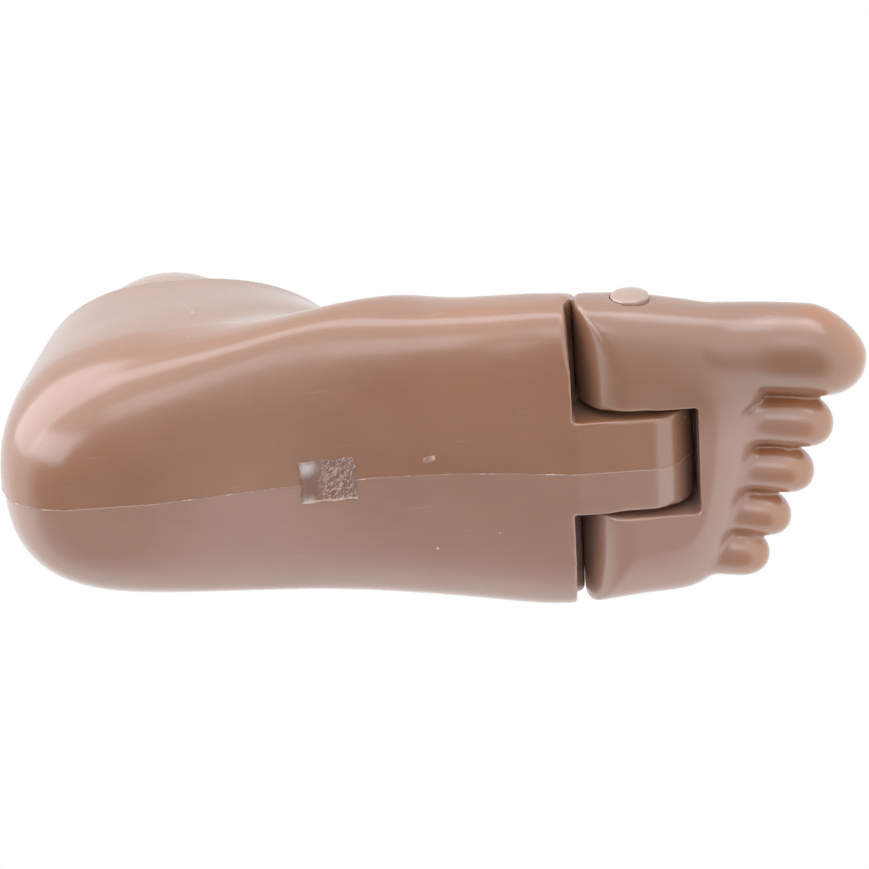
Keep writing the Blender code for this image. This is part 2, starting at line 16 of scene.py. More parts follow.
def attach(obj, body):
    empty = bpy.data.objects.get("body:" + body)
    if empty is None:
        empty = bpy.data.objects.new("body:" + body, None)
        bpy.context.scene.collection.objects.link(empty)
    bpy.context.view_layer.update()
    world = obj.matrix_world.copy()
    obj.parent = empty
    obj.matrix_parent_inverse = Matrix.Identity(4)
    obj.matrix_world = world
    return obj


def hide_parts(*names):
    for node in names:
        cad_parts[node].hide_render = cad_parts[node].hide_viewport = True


MM = 0.001
SHIFT = Vector((1.187, 0.375, 0.0))
FAR = 160.0
CLEARANCE = 0.3
SAME_POINT = 1e-7  # metres

# Toe hinge
HINGE = Vector((56.0, 0.0, 15.5))
EAR_RADIUS = 15.8
TONGUE_RADIUS = 16.38
MEDIAL_SHOULDER_X = 38.1
LATERAL_SHOULDER_X = 37.4
LIP_X = 44.0
LIP_RADIUS = 15.98
SLOT_FLOOR_X = 72.6
TONGUE_MEDIAL = -15.4
TONGUE_LATERAL = 12.9
SIDE_GAP = 2.1
PIN_RADIUS = 4.0
PIN_HEAD_RADIUS = 5.35
PIN_HEAD_TOP = 47.2
PIN_HEAD_DEPTH = 3.0
PIN_CAP_TOP = 43.8
PIN_CAP_DEPTH = 2.4
BUSH_RADIUS = 6.5

# Ankle
BALL = Vector((-76.5, 0.0, 88.6))
BALL_RADIUS = 29.2
BALL_TOP = 23.0
SEAT_RADIUS = 29.6
SEAT_SHELL_RADIUS = 33.0
SPINDLE_RADIUS = 7.0
BOSS_RADIUS = 11.0
BOSS_FOOT_Z = 38.0
BALL_PIN_RADIUS = 2.9
BALL_PIN_END = -21.0
EYE_RADIUS = 9.5
BLADE_X = 4.8
BLADE_Y = 5.0
TILT_DEGREES = 26.0
INSERT_RADIUS = 8.0
INSERT_LENGTH = 11.0

# Rear shells
RIM_Z = 80.0
WALL = 3.2
CAVITY_FRONT_X = 33.0
SEAM_GAP = 0.04
SCREW_RADIUS = 1.9
SCREW_HEAD_RADIUS = 4.0
SCREW_TIP_Y = -13.0
SCREW_BOSS_RADIUS = 5.5
SCREWS = ((-97.0, 27.0, 21.0), (-37.0, 50.0, 22.0), (-30.0, 20.0, 26.0), (24.0, 16.5, 34.0))

# The foot's form, as rings from the ankle round the heel and along to the ball. Each ring lies in a plane
# through an upper point (instep side) and a lower point (heel or sole side), across the foot: upper x,
# upper z, lower x, lower z, medial half-width, lateral half-width, share of the height below the widest
# line, fullness above it, fullness below it on the medial side and on the lateral side, sweep of x per y
FORM_RINGS = (
    (-22.0, 88.0, -115.0, 88.0, 32.8, 31.5, 0.46, 2.35, 2.25, 2.3, 0.0),
    (-23.5, 80.0, -116.0, 80.0, 33.0, 31.0, 0.46, 2.35, 2.25, 2.3, 0.0),
    (-20.0, 73.5, -118.5, 64.0, 34.3, 31.0, 0.46, 2.35, 2.3, 2.4, 0.0),
    (-15.0, 68.0, -121.3, 46.0, 36.1, 32.0, 0.46, 2.3, 2.3, 2.6, 0.0),
    (-9.5, 63.5, -123.0, 30.0, 37.7, 32.7, 0.44, 2.25, 2.35, 2.7, 0.0),
    (-5.5, 60.0, -123.0, 17.0, 38.8, 33.2, 0.41, 2.2, 2.3, 2.8, 0.0),
    (-2.5, 57.0, -119.0, 6.0, 39.6, 33.8, 0.40, 2.2, 2.3, 2.9, 0.0),
    (0.5, 54.5, -108.5, -0.2, 40.8, 34.2, 0.40, 2.2, 2.3, 3.0, 0.0),
    (3.5, 52.3, -90.0, -1.0, 42.6, 34.8, 0.41, 2.3, 2.4, 3.2, 0.0),
    (7.0, 50.0, -67.0, 0.8, 44.8, 36.6, 0.43, 2.4, 2.5, 3.2, 0.0),
    (11.0, 47.0, -42.0, 5.4, 45.8, 39.8, 0.45, 2.5, 2.6, 3.2, 0.0),
    (15.5, 43.6, -16.0, 7.0, 44.0, 43.2, 0.45, 2.5, 2.75, 3.2, 0.0),
    (21.0, 40.0, 8.0, 5.6, 44.6, 45.8, 0.46, 2.6, 2.9, 3.2, 0.0),
    (30.0, 35.4, 27.0, 2.0, 46.2, 46.8, 0.46, 2.8, 3.2, 3.4, 0.0),
    (41.0, 32.0, 41.0, -0.8, 46.9, 45.7, 0.46, 2.8, 3.4, 3.6, 0.0),
    (56.0, 31.6, 56.0, -0.8, 46.0, 43.3, 0.46, 2.8, 3.4, 3.6, 0.0),
    (68.0, 30.2, 68.0, -0.8, 43.6, 43.2, 0.46, 2.7, 3.2, 3.4, -0.04),
    (77.0, 27.4, 76.5, -0.5, 42.0, 41.8, 0.45, 2.6, 2.9, 3.0, -0.10),
    (84.5, 23.0, 83.5, 1.8, 39.0, 38.8, 0.45, 2.4, 2.6, 2.6, -0.16),
    (89.0, 18.0, 88.0, 6.5, 32.0, 31.0, 0.45, 2.2, 2.2, 2.2, -0.20),
)

# How far the medial side is drawn in at the ground under the heel, as a share, and the height where that ends
DRAW_IN = 0.15
DRAW_IN_Z = 30.0

# The toes: root x y z, tip x y z, half-width, half-height, how full the tip is on its medial and lateral side
TOES = (
    ((76.0, -29.4, 13.4), (120.5, -25.8, 11.2), 13.1, 12.2, 1.6, 2.3),
    ((80.0, -8.2, 11.0), (110.9, -6.9, 8.7), 7.6, 8.0, 2.0, 2.3),
    ((78.0, 6.0, 10.4), (105.4, 7.4, 8.4), 7.1, 7.6, 2.0, 2.2),
    ((74.0, 18.8, 9.8), (98.7, 20.8, 8.0), 6.9, 7.2, 2.0, 2.2),
    ((68.0, 32.2, 9.6), (92.4, 32.2, 7.6), 7.2, 6.9, 2.0, 2.1),
)

# Where the clefts between the toes begin, as x and y, and their half-width
CLEFTS = ((82.6, -13.6, 3.4), (87.5, -0.8, 1.8), (83.6, 13.3, 1.8), (78.6, 25.4, 1.8))


# Meshes


def at(point):
    """A point of the foot's frame, in the model's metres."""
    return (Vector(point) + SHIFT) * MM


def new_object(name, mesh):
    made = bpy.data.objects.new(name, mesh)
    bpy.context.scene.collection.objects.link(made)
    return made


def from_arrays(name, points, faces):
    mesh = bpy.data.meshes.new(name)
    mesh.from_pydata([tuple(p) for p in points], [], faces)
    mesh.update()
    return new_object(name, mesh)


def outward(piece, merge=0.0):
    """Turns every face outwards, after merging points that lie within a distance in metres."""
    bm = bmesh.new()
    bm.from_mesh(piece.data)
    if merge:
        bmesh.ops.remove_doubles(bm, verts=bm.verts, dist=merge)
    bmesh.ops.recalc_face_normals(bm, faces=bm.faces)
    bm.to_mesh(piece.data)
    bm.free()
    return piece


def loft(name, rings):
    """A closed object over rings of points, with flat ends. The rings are in the foot's frame."""
    rings = np.array(rings, float)
    count, around = rings.shape[:2]
    points = (rings.reshape(-1, 3) + np.array(SHIFT)) * MM
    i, j = np.meshgrid(np.arange(count - 1), np.arange(around), indexing="ij")
    a, b = i * around + j, i * around + (j + 1) % around
    quads = np.stack([a, b, b + around, a + around], -1).reshape(-1, 4)
    last = (count - 1) * around
    faces = [*map(tuple, quads.tolist()), tuple(range(around))[::-1], tuple(range(last, last + around))]
    return outward(from_arrays(name, points, faces))


def box(name, low, high):
    low, high = at(low), at(high)
    bm = bmesh.new()
    bmesh.ops.create_cube(bm, size=1.0)
    move = Matrix.Translation((low + high) / 2) @ Matrix.Diagonal((*(high - low), 1.0))
    bmesh.ops.transform(bm, verts=bm.verts, matrix=move)
    mesh = bpy.data.meshes.new(name)
    bm.to_mesh(mesh)
    bm.free()
    return new_object(name, mesh)


AXES = {"Y": Matrix.Rotation(-math.pi / 2, 3, "X"), "Z": Matrix.Identity(3)}


def turned(name, profile, centre, axis="Z", steps=64, closed=False):
    """A turned object: (radius, distance along the axis) points spun about an axis through centre."""
    rotate = AXES[axis]
    rings = []
    for r, h in profile:
        rings.append(
            [
                Vector(centre) + rotate @ Vector((r * math.cos(t), r * math.sin(t), h))
                for t in (2 * math.pi * k / steps for k in range(steps))
            ]
        )
    points = [at(p) for ring in rings for p in ring]
    faces = []
    rows = len(rings)
    for i in range(rows if closed else rows - 1):
        for k in range(steps):
            a, b = i * steps, (i + 1) % rows * steps
            n = (k + 1) % steps
            faces.append((a + k, a + n, b + n, b + k))
    return outward(from_arrays(name, points, faces), SAME_POINT)


def bowl(radius, start, end, count):
    """A profile round a ball's underside, by the angle from its lowest point."""
    return [(radius * math.sin(a), -radius * math.cos(a)) for a in np.linspace(start, end, count)]


def rod(name, radius, centre, low, high, axis="Y", steps=96):
    return turned(name, ((0, low), (radius, low), (radius, high), (0, high)), centre, axis, steps)


def bake(piece):
    graph = bpy.context.evaluated_depsgraph_get()
    mesh = bpy.data.meshes.new_from_object(piece.evaluated_get(graph))
    piece.modifiers.clear()
    piece.data = mesh
    return piece


def combine(piece, operation, *others):
    for other in others:
        step = piece.modifiers.new(operation, "BOOLEAN")
        step.operation = operation
        step.object = other
        bpy.context.view_layer.update()
        bake(piece)
        bpy.data.objects.remove(other)
    return piece


def joined(name, objects):
    """One mesh out of several, not cut or merged."""
    bm = bmesh.new()
    for o in objects:
        bm.from_mesh(o.data)
        bpy.data.objects.remove(o)
    mesh = bpy.data.meshes.new(name)
    bm.to_mesh(mesh)
    bm.free()
    return new_object(name, mesh)


def remesh(piece, voxel):
    step = piece.modifiers.new("remesh", "REMESH")
    step.mode = "VOXEL"
    step.voxel_size = voxel * MM
    return bake(piece)


def smooth(piece, rounds, weight=None):
    """Relaxes a mesh, everywhere or by a weight given for each point of the foot's frame."""
    step = piece.modifiers.new("smooth", "SMOOTH")
    step.factor = 0.5
    step.iterations = rounds
    if weight:
        group = piece.vertex_groups.new(name="soften")
        co = np.empty(len(piece.data.vertices) * 3)
        piece.data.vertices.foreach_get("co", co)
        co = co.reshape(-1, 3) / MM - np.array(SHIFT)
        shares = np.round(weight(co), 1)
        for share in np.unique(shares[shares > 0]):
            group.add(np.nonzero(shares == share)[0].tolist(), float(share), "REPLACE")
        step.vertex_group = group.name
    bake(piece)
    piece.vertex_groups.clear()
    return piece


def finish_piece(piece, body, slot, material, *nodes):
    piece.data.materials.clear()
    piece.data.materials.append(material)
    piece.data.shade_smooth()
    if nodes:
        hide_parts(*nodes)
    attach(piece, body)
    return piece


# The form


def spline_rows(table, steps):
    """Rows on a cubic B-spline through the table, which flows more smoothly than the table's own rows."""
    rows = np.array(table, float)
    padded = np.vstack([2 * rows[0] - rows[1], rows, 2 * rows[-1] - rows[-2]])
    made = []
    for i in range(len(rows) - 1):
        a, b, c, d = padded[i : i + 4]
        for t in np.arange(steps) / steps:
            nearer = (3 * t**3 - 6 * t**2 + 4) * b + (-3 * t**3 + 3 * t**2 + 3 * t + 1) * c
            made.append(((1 - t) ** 3 * a + nearer + t**3 * d) / 6)
    return [*made, rows[-1]]


def half_outline(width, above, below, full_above, full_below, count):
    turn = np.linspace(0.0, math.pi, 1200)
    up, side = np.cos(turn), np.sin(turn).clip(0.0)
    fullness = np.where(up >= 0, full_above, full_below)
    height = np.where(up >= 0, above, below)
    across = width * side ** (2 / fullness)
    rise = height * np.sign(up) * np.abs(up) ** (2 / fullness)
    run = np.concatenate([[0.0], np.cumsum(np.hypot(np.diff(across), np.diff(rise)))])
    even = np.linspace(0.0, run[-1], count + 1)
    return np.interp(even, run, across), np.interp(even, run, rise)


def ring_points(row, inset, count):
    xt, zt, xb, zb, medial, lateral, low, full_top, full_medial, full_lateral, sweep = row
    top, bottom = np.array((xt, 0.0, zt)), np.array((xb, 0.0, zb))
    height = np.linalg.norm(top - bottom)
    up = (top - bottom) / height
    widest = bottom + up * height * low
    above, below = height * (1 - low) - inset, height * low - inset
    sides = []
    for width, full_bottom, sign in ((lateral, full_lateral, 1.0), (medial, full_medial, -1.0)):
        across, rise = half_outline(width - inset, above, below, full_top, full_bottom, count)
        sides.append(widest + np.outer(rise, up) + np.outer(sign * across, (0.0, 1.0, 0.0)))
    ring = np.vstack([sides[0], sides[1][-2:0:-1]])
    low_heel = np.clip(1 - ring[:, 2] / DRAW_IN_Z, 0, 1) ** 1.5 * np.clip(-ring[:, 0] / 50, 0, 1)
    ring[:, 1] *= np.where(ring[:, 1] < 0, 1 - DRAW_IN * low_heel, 1)
    ring[:, 0] += sweep * ring[:, 1]
    ring[:, 2] = np.maximum(ring[:, 2], inset)
    return ring


def foot_form(name, inset=0.0, steps=12, half_count=90):
    return loft(name, [ring_points(row, inset, half_count) for row in spline_rows(FORM_RINGS, steps)])


def toe_form(name, root, tip, half_width, half_height, full_medial, full_lateral, rings=40, count=72):
    """One toe: narrower at its neck, with a full round pulp at its end."""
    root, tip = Vector(root), Vector(tip)
    end_share = min(0.45, 1.15 * half_width / (tip.x - root.x))
    neck_depth = 0.09 if half_width < 10 else 0.03
    made = []
    for i in range(rings + 1):
        share = math.sin(math.pi / 2 * i / rings)
        spot = root.lerp(tip, share)
        neck = neck_depth * math.exp(-(((share - 0.36) / 0.17) ** 2))
        spot.z += half_height * (0.10 * math.sin(math.pi * share) + 1.5 * neck)
        into_end = min(1.0, max(0.0, (share - (1 - end_share)) / end_share))
        size = [max((1 - into_end**full) ** (1 / full), 0.02) for full in (full_medial, 2.0, full_lateral)]
        ring = []
        for a in (2 * math.pi * k / count for k in range(count)):
            wide = half_width * (1 - 0.4 * neck) * size[2 if math.cos(a) > 0 else 0]
            ring.append(spot + Vector((0.0, wide * math.cos(a), half_height * size[1] * math.sin(a))))
        made.append(ring)
    return loft(name, made)


def cleft(x, y, half_width):
    """A groove to cut under the ball of the foot, which opens and deepens towards the toes."""
    rings = []
    for share in (0.0, 0.25, 0.5, 0.75, 1.0, 2.5):
        wide, top = 0.3 + half_width * min(share, 1.0), 0.5 + 9.5 * min(share, 1.0) ** 0.8
        ahead = x + 8.0 * share
        corners = ((-wide, -9.0), (wide, -9.0), (wide * 0.4, top), (-wide * 0.4, top))
        rings.append([(ahead, y + across, z) for across, z in corners])
    return loft("cleft", rings)


# Plastic pieces


def near(values, low, high, fade):
    """1 between two values, falling to 0 over a fade on each side."""
    return np.clip((values - low) / fade + 1, 0, 1) * np.clip((high - values) / fade + 1, 0, 1)


def make_rear():
    solid = foot_form("rear")
    envelope = box("rear_space", (-FAR, -FAR, -FAR), (LATERAL_SHOULDER_X, FAR, RIM_Z))
    lip = box("lip", (20, -FAR / 2, HINGE.z), (LIP_X, FAR / 2, FAR / 3))
    combine(lip, "DIFFERENCE", rod("ear_sweep", LIP_RADIUS, HINGE, -FAR, FAR, steps=256))
    shoulder = box("shoulder", (0, -FAR / 2, -FAR / 2), (MEDIAL_SHOULDER_X, -5, RIM_Z - 5))
    tongue = box("tongue", (20, TONGUE_MEDIAL, -FAR / 3), (HINGE.x, TONGUE_LATERAL, RIM_Z - 10))
    end = rod("tongue_end", TONGUE_RADIUS, HINGE, TONGUE_MEDIAL, TONGUE_LATERAL, steps=256)
    combine(envelope, "UNION", lip, shoulder, tongue, end)
    combine(solid, "INTERSECT", envelope)
    bore = SPINDLE_RADIUS + CLEARANCE
    first = math.asin(bore / SEAT_RADIUS)
    arc = bowl(SEAT_RADIUS, first, 0.55 * math.pi, 48)
    cuts = [turned("seat", [(0, 20 - BALL.z), (bore, 20 - BALL.z), *arc, (0, 4.6)], BALL, "Z", 128)]
    for x, z, y in SCREWS:
        hole, head = SCREW_RADIUS + CLEARANCE, SCREW_HEAD_RADIUS + CLEARANCE
        start = SCREW_TIP_Y - 2
        profile = ((0, start), (hole, start), (hole, y), (head, y), (head, FAR / 2), (0, FAR / 2))
        cuts.append(turned("screw_space", profile, (x, 0, z), "Y", 48))
    cuts.append(rod("bush_bore", BUSH_RADIUS + CLEARANCE, HINGE, -30, 30))
    combine(solid, "DIFFERENCE", joined("cuts", cuts))
    remesh(solid, 0.55)
    smooth(solid, 3)
    smooth(solid, 90, lambda co: near(co[:, 0], 33, 44, 3) * np.clip((-30 - co[:, 1]) / 8, 0, 1))
    smooth(solid, 24, lambda co: near(co[:, 0], 34, 44, 3) * np.clip((co[:, 1] - 30) / 8, 0, 1))
    smooth(solid, 14, lambda co: near(co[:, 2], 76, 82, 3))
    smooth(solid, 40, lambda co: near(co[:, 0], 52, 66, 5) * near(co[:, 2], -5, 2.0, 1.5))
    return solid


def rear_cavity():
    hollow = foot_form("cavity", WALL, 2, 16)
    combine(hollow, "INTERSECT", box("limits", (-FAR, -FAR, -FAR), (CAVITY_FRONT_X, FAR, RIM_Z - WALL)))
    keep = [
        turned("cup", bowl(SEAT_SHELL_RADIUS, 0, math.pi, 33), BALL, "Z", 48),
        rod("boss", BOSS_RADIUS, (BALL.x, 0, 0), BOSS_FOOT_Z, BALL.z - 9, "Z", 36),
    ]
    for x, z, _ in SCREWS:
        keep.append(rod("post", SCREW_BOSS_RADIUS, (x, 0, z), -FAR / 2, FAR / 2, "Y", 24))
    return combine(hollow, "DIFFERENCE", *keep)


def set_back(shell):
    """Brings one half's heel a little way in, which leaves the step seen at the back of the parting line."""
    for vertex in shell.data.vertices:
        x = vertex.co.x / MM - SHIFT.x
        vertex.co.x += 0.6 * MM * min(1.0, max(0.0, (-96 - x) / 20))


def make_shells():
    """The two halves of the rear foot. They close up to the parting line, which the CAD keeps 0.3 mm open."""
    whole = make_rear()
    details = make_rear_details(whole)
    combine(whole, "DIFFERENCE", rear_cavity())
    other = new_object("rear_shell_lateral_form", whole.data.copy())
    gap = SEAM_GAP / 2
    combine(whole, "DIFFERENCE", box("lateral_side", (-FAR, -gap, -FAR), (FAR, FAR, FAR)))
    combine(other, "DIFFERENCE", box("medial_side", (-FAR, -FAR, -FAR), (FAR, gap, FAR)))
    whole.name = "rear_shell_medial_form"
    set_back(other)
    return whole, other, details


def make_toe_body():
    form = foot_form("toe_body_form")
    combine(form, "INTERSECT", box("front_half", (35, -FAR, -FAR), (FAR, FAR, FAR)))
    toes = [toe_form(f"toe_{n}", *toe) for n, toe in enumerate(TOES, 1)]
    combine(form, "DIFFERENCE", *[cleft(*spot) for spot in CLEFTS])
    body = joined("toe_body_form", [form, *toes])
    remesh(body, 0.55)
    smooth(body, 30, lambda co: near(co[:, 0], 76, 87, 5))
    smooth(body, 8, lambda co: np.clip((co[:, 0] - 70) / 8, 0, 1))
    envelope = box("front_space", (HINGE.x, -FAR, -FAR), (FAR, FAR, FAR))
    combine(envelope, "UNION", rod("ear_backs", EAR_RADIUS, HINGE, -FAR / 2, FAR / 2, steps=256))
    medial, lateral = TONGUE_MEDIAL - SIDE_GAP, TONGUE_LATERAL + SIDE_GAP
    combine(envelope, "DIFFERENCE", box("slot", (0, medial, -FAR / 2), (SLOT_FLOOR_X, lateral, FAR / 2)))
    combine(body, "INTERSECT", envelope)
    hole, seat = PIN_RADIUS + CLEARANCE, PIN_HEAD_RADIUS + 0.12
    head, cap = PIN_HEAD_DEPTH - PIN_HEAD_TOP, PIN_CAP_TOP - PIN_CAP_DEPTH
    far = FAR / 2
    medial_part = ((0, -far), (seat, -far), (seat, head), (hole, head))
    lateral_part = ((hole, cap), (seat, cap), (seat, far), (0, far))
    combine(body, "DIFFERENCE", turned("pin_space", medial_part + lateral_part, HINGE, "Y", 96))
    remesh(body, 0.5)
    smooth(body, 3)
    smooth(body, 80, lambda co: near(co[:, 0], 36, 47, 3) * np.clip((-32 - co[:, 1]) / 8, 0, 1))
    smooth(body, 26, lambda co: near(co[:, 0], 36, 48, 3) * np.clip((co[:, 1] - 32) / 8, 0, 1))
    smooth(body, 40, lambda co: near(co[:, 0], 48, 58, 4) * near(co[:, 2], -5, 2.0, 1.5))
    return body


# Small details on the mouldings


def surface_of(piece):
    bm = bmesh.new()
    bm.from_mesh(piece.data)
    tree = BVHTree.FromBMesh(bm)
    bm.free()
    return tree


def relief(name, surface, centre, u, v, size, spacing, height, sink=0.5):
    """A closed patch that follows a surface, and stands off it by height(a, b), with a and b from -1 to 1."""
    u, v = Vector(u).normalized(), Vector(v).normalized()
    out = u.cross(v)
    counts = [max(6, round(2 * half / spacing)) for half in size]
    tops, bottoms = [], []
    for i in range(counts[0] + 1):
        for j in range(counts[1] + 1):
            a, b = 2 * i / counts[0] - 1, 2 * j / counts[1] - 1
            start = at(Vector(centre) + u * a * size[0] + v * b * size[1]) + out * 12 * MM
            hit = surface.ray_cast(start, -out, 40 * MM)[0]
            spot = hit if hit else start - out * 12 * MM
            tops.append(spot + out * height(a, b) * MM)
            bottoms.append(spot - out * sink * MM)
    width = counts[1] + 1
    total = len(tops)
    faces = []
    for i in range(counts[0]):
        for j in range(counts[1]):
            k = i * width + j
            faces.append((k, k + width, k + width + 1, k + 1))
            faces.append((total + k, total + k + 1, total + k + width + 1, total + k + width))
    rim = [i * width for i in range(counts[0] + 1)]
    rim += [counts[0] * width + j for j in range(1, width)]
    rim += [i * width + width - 1 for i in range(counts[0] - 1, -1, -1)]
    rim += [j for j in range(width - 2, 0, -1)]
    for a, b in zip(rim, rim[1:] + rim[:1]):
        faces.append((b, a, total + a, total + b))
    return outward(from_arrays(name, tops + bottoms, faces))


def ripple(x, y, scale, seed):
    return noise.noise(Vector((x * scale, y * scale, seed)))


def scar_height(a, b):
    """The torn gate: low glossy ground to the heel side, ripped ridges to the toe side, and a raised rim."""
    edge = min(1 - abs(a + 0.03 * math.sin(9 * b)), 1 - abs(b + 0.03 * math.sin(7 * a)))
    if edge < 0.04:
        return -0.3
    across, along = (a * 7.2 - b * 6.3) / 1.414, (a * 7.2 + b * 6.3) / 1.414
    torn = min(1, max(0, (a + 0.28 + 0.2 * b) * 2.4))
    ridges = noise.noise(Vector((across * 2.4, along * 0.6, 3.0)))
    ridges += 0.8 * noise.noise(Vector((across * 5.2, along * 2.0, 7.0)))
    rise = 0.12 + torn * (0.06 + 0.26 * ridges) + (1 - torn) * 0.05 * ripple(a, b, 2.6, 1.0)
    rise += 0.22 * math.exp(-(((a + 0.9) / 0.07) ** 2)) * (0.6 + 0.5 * ripple(a, b, 5.0, 2.0))
    rise += 0.30 * math.exp(-(((b + 0.9) / 0.05) ** 2)) * (0.7 + 0.4 * ripple(a, b, 4.0, 6.0))
    rise += 0.30 * math.exp(-(((a + 0.9) / 0.12) ** 2 + ((b - 0.88) / 0.12) ** 2))
    return max(0.03, rise + 0.12 * math.exp(-(((a + 0.62) / 0.3) ** 2 + ((b - 0.45) / 0.35) ** 2)))


def make_scar(surface):
    centre, half_size = (-30.4, -0.6, -5), (8.0, 6.7)
    return relief("gate_scar", surface, centre, (1, 0, 0), (0, -1, 0), half_size, 0.14, scar_height)


def make_fleck(surface):
    def height(a, b):
        inside = 1 - (abs(a) ** 2.6 + abs(b) ** 2.6)
        return -0.3 if inside < 0 else 0.05 + 0.12 * math.sqrt(inside) * (1 + 0.6 * ripple(a, b, 2.3, 5.0))

    u = Vector((math.cos(0.28), -math.sin(0.28), 0))
    v = Vector((-math.sin(0.28), -math.cos(0.28), 0))
    return relief("plastic_fleck", surface, (-2.0, -4.9, -5), u, v, (1.9, 0.95), 0.12, height)


def seam_path():
    """The bottom line of the form, from the heel's back to the tongue's round end."""
    rows = spline_rows(FORM_RINGS[:16], 40)
    line = [Vector((row[2], 0, max(row[3], 0))) for row in rows if row[3] < 76 and row[2] < HINGE.x - 1]
    for turn in np.linspace(-90, -25, 40):
        a = math.radians(turn)
        line.append(HINGE + Vector((TONGUE_RADIUS * math.cos(a), 0, TONGUE_RADIUS * math.sin(a))))
    return line


def flash_stretches():
    """Points evenly spaced along the parting line, in two stretches with a break at the gate."""
    line = seam_path()
    stretches = [[], []]
    for a, b in zip(line, line[1:]):
        count = max(1, round((b - a).length / 0.35))
        for p in (a.lerp(b, k / count) for k in range(count)):
            if not -38.1 < p.x < -22.6:
                stretches[p.x > -30].append(p)
    return stretches


def flash_size(p):
    """The half-width of the flash: a little uneven, thicker by the gate and under the heel."""
    size = 0.10 + 0.10 * ripple(p.x, p.z, 0.21, 4.0) + 0.09 * ripple(p.x, p.z, 1.3, 9.0)
    size += 0.15 * math.exp(-(((p.x + 18.5) / 2.2) ** 2)) + 0.07 * math.exp(-(((p.x + 84) / 8) ** 2))
    return max(0.03, size)


def make_flash(surface):
    """The thin line of flash along the parting line, which lies on the surface."""
    pieces = []
    side = Vector((0, 1, 0))
    for points in flash_stretches():
        rings = []
        for k, p in enumerate(points):
            spot = surface.find_nearest(at(p))[0] / MM - SHIFT
            spot.z = max(spot.z, 0.2)
            ahead = (points[min(k + 1, len(points) - 1)] - points[max(k - 1, 0)]).normalized()
            up = ahead.cross(side).normalized()
            size = flash_size(p)
            drift = 0.12 * ripple(p.x, p.z, 0.5, 2.0)
            ring = []
            for t in (math.pi * h / 4 for h in range(8)):
                across = size * 1.2 * math.cos(t) + drift
                ring.append(spot + side * across + up * size * 0.9 * math.sin(t))
            rings.append(ring)
        pieces.append(loft("flash", rings))
    return joined("seam_flash", pieces)


def make_rear_details(rear):
    surface = surface_of(rear)
    return make_scar(surface), make_fleck(surface), make_flash(surface)


def make_nails(body):
    """Low nail plates on the tops of the toes."""
    surface = surface_of(body)
    made = []
    for n, (_, tip, half_width, *_) in enumerate(TOES, 1):
        length = 0.62 * half_width

        def height(a, b):
            inside = 1 - (abs(a) ** 3 + abs(b) ** 2.6)
            return -0.35 if inside < 0 else 0.32 * min(1, inside * 4) ** 0.5

        centre = (tip[0] - 1.02 * half_width, tip[1] + 0.2, 30)
        size = (length, 0.56 * half_width)
        made.append(relief(f"toe_nail_{n}", surface, centre, (1, 0, 0), (0, 1, 0), size, 0.4, height, 0.8))
    return joined("toe_nails", made)


# Turned and joined hardware


def rounded(points, radius=0.3, steps=4):
    """A profile with its inner corners rounded. Its first and last points stay."""
    made = [points[0]]
    for a, b, c in zip(points, points[1:], points[2:]):
        a, b, c = Vector(a), Vector(b), Vector(c)
        reach = min(radius, (a - b).length * 0.45, (c - b).length * 0.45)
        start, end = b + (a - b).normalized() * reach, b + (c - b).normalized() * reach
        for k in range(steps + 1):
            t = k / steps
            spot = start * (1 - t) ** 2 + b * 2 * t * (1 - t) + end * t**2
            made.append((max(spot.x, 0), spot.y))
    return [*made, points[-1]]


def make_pin():
    top, under = -PIN_HEAD_TOP, -PIN_HEAD_TOP + PIN_HEAD_DEPTH - CLEARANCE
    end = PIN_CAP_TOP - 1.0
    turn = np.linspace(0, math.pi / 2, 16)
    dome = [(PIN_HEAD_RADIUS * math.sin(a), top + 1.3 * (1 - math.cos(a))) for a in turn]
    shank = [(PIN_RADIUS, under), (PIN_RADIUS, end - 0.8), (PIN_RADIUS - 0.8, end), (0, end)]
    return turned("hinge_pin_form", rounded([*dome, (PIN_HEAD_RADIUS, under), *shank], 0.25), HINGE, "Y", 96)


def make_cap():
    foot = PIN_CAP_TOP - PIN_CAP_DEPTH + CLEARANCE
    bore = PIN_RADIUS + CLEARANCE
    profile = [
        (0, PIN_CAP_TOP),
        (3.4, PIN_CAP_TOP - 0.15),
        (PIN_HEAD_RADIUS - 0.4, PIN_CAP_TOP - 0.5),
        (PIN_HEAD_RADIUS, PIN_CAP_TOP - 0.9),
        (PIN_HEAD_RADIUS, foot),
        (bore, foot),
        (bore, PIN_CAP_TOP - 0.7),
        (0, PIN_CAP_TOP - 0.7),
    ]
    return turned("hinge_pin_cap_form", rounded(profile, 0.2), HINGE, "Y", 96)


def make_screws():
    made = []
    for (x, z, y), name in zip(SCREWS, ("heel", "ankle", "arch", "hinge")):
        seat = y + CLEARANCE
        head, shank = SCREW_HEAD_RADIUS, SCREW_RADIUS
        profile = [
            (0, seat + 2.8),
            (head - 1.6, seat + 2.7),
            (head - 0.3, seat + 1.7),
            (head, seat + 0.7),
            (head, seat),
            (shank, seat),
            (shank, SCREW_TIP_Y + 2.5),
            (0, SCREW_TIP_Y + 0.4),
        ]
        screw = turned(f"shell_screw_{name}_form", rounded(profile, 0.35), (x, 0, z), "Y", 64)
        for wide, high in ((2.3, 0.42), (0.42, 2.3)):
            drive = box("drive", (x - wide, seat + 1.2, z - high), (x + wide, seat + 5, z + high))
            combine(screw, "DIFFERENCE", drive)
        made.append((screw, f"shell_screw_{name}"))
    return made


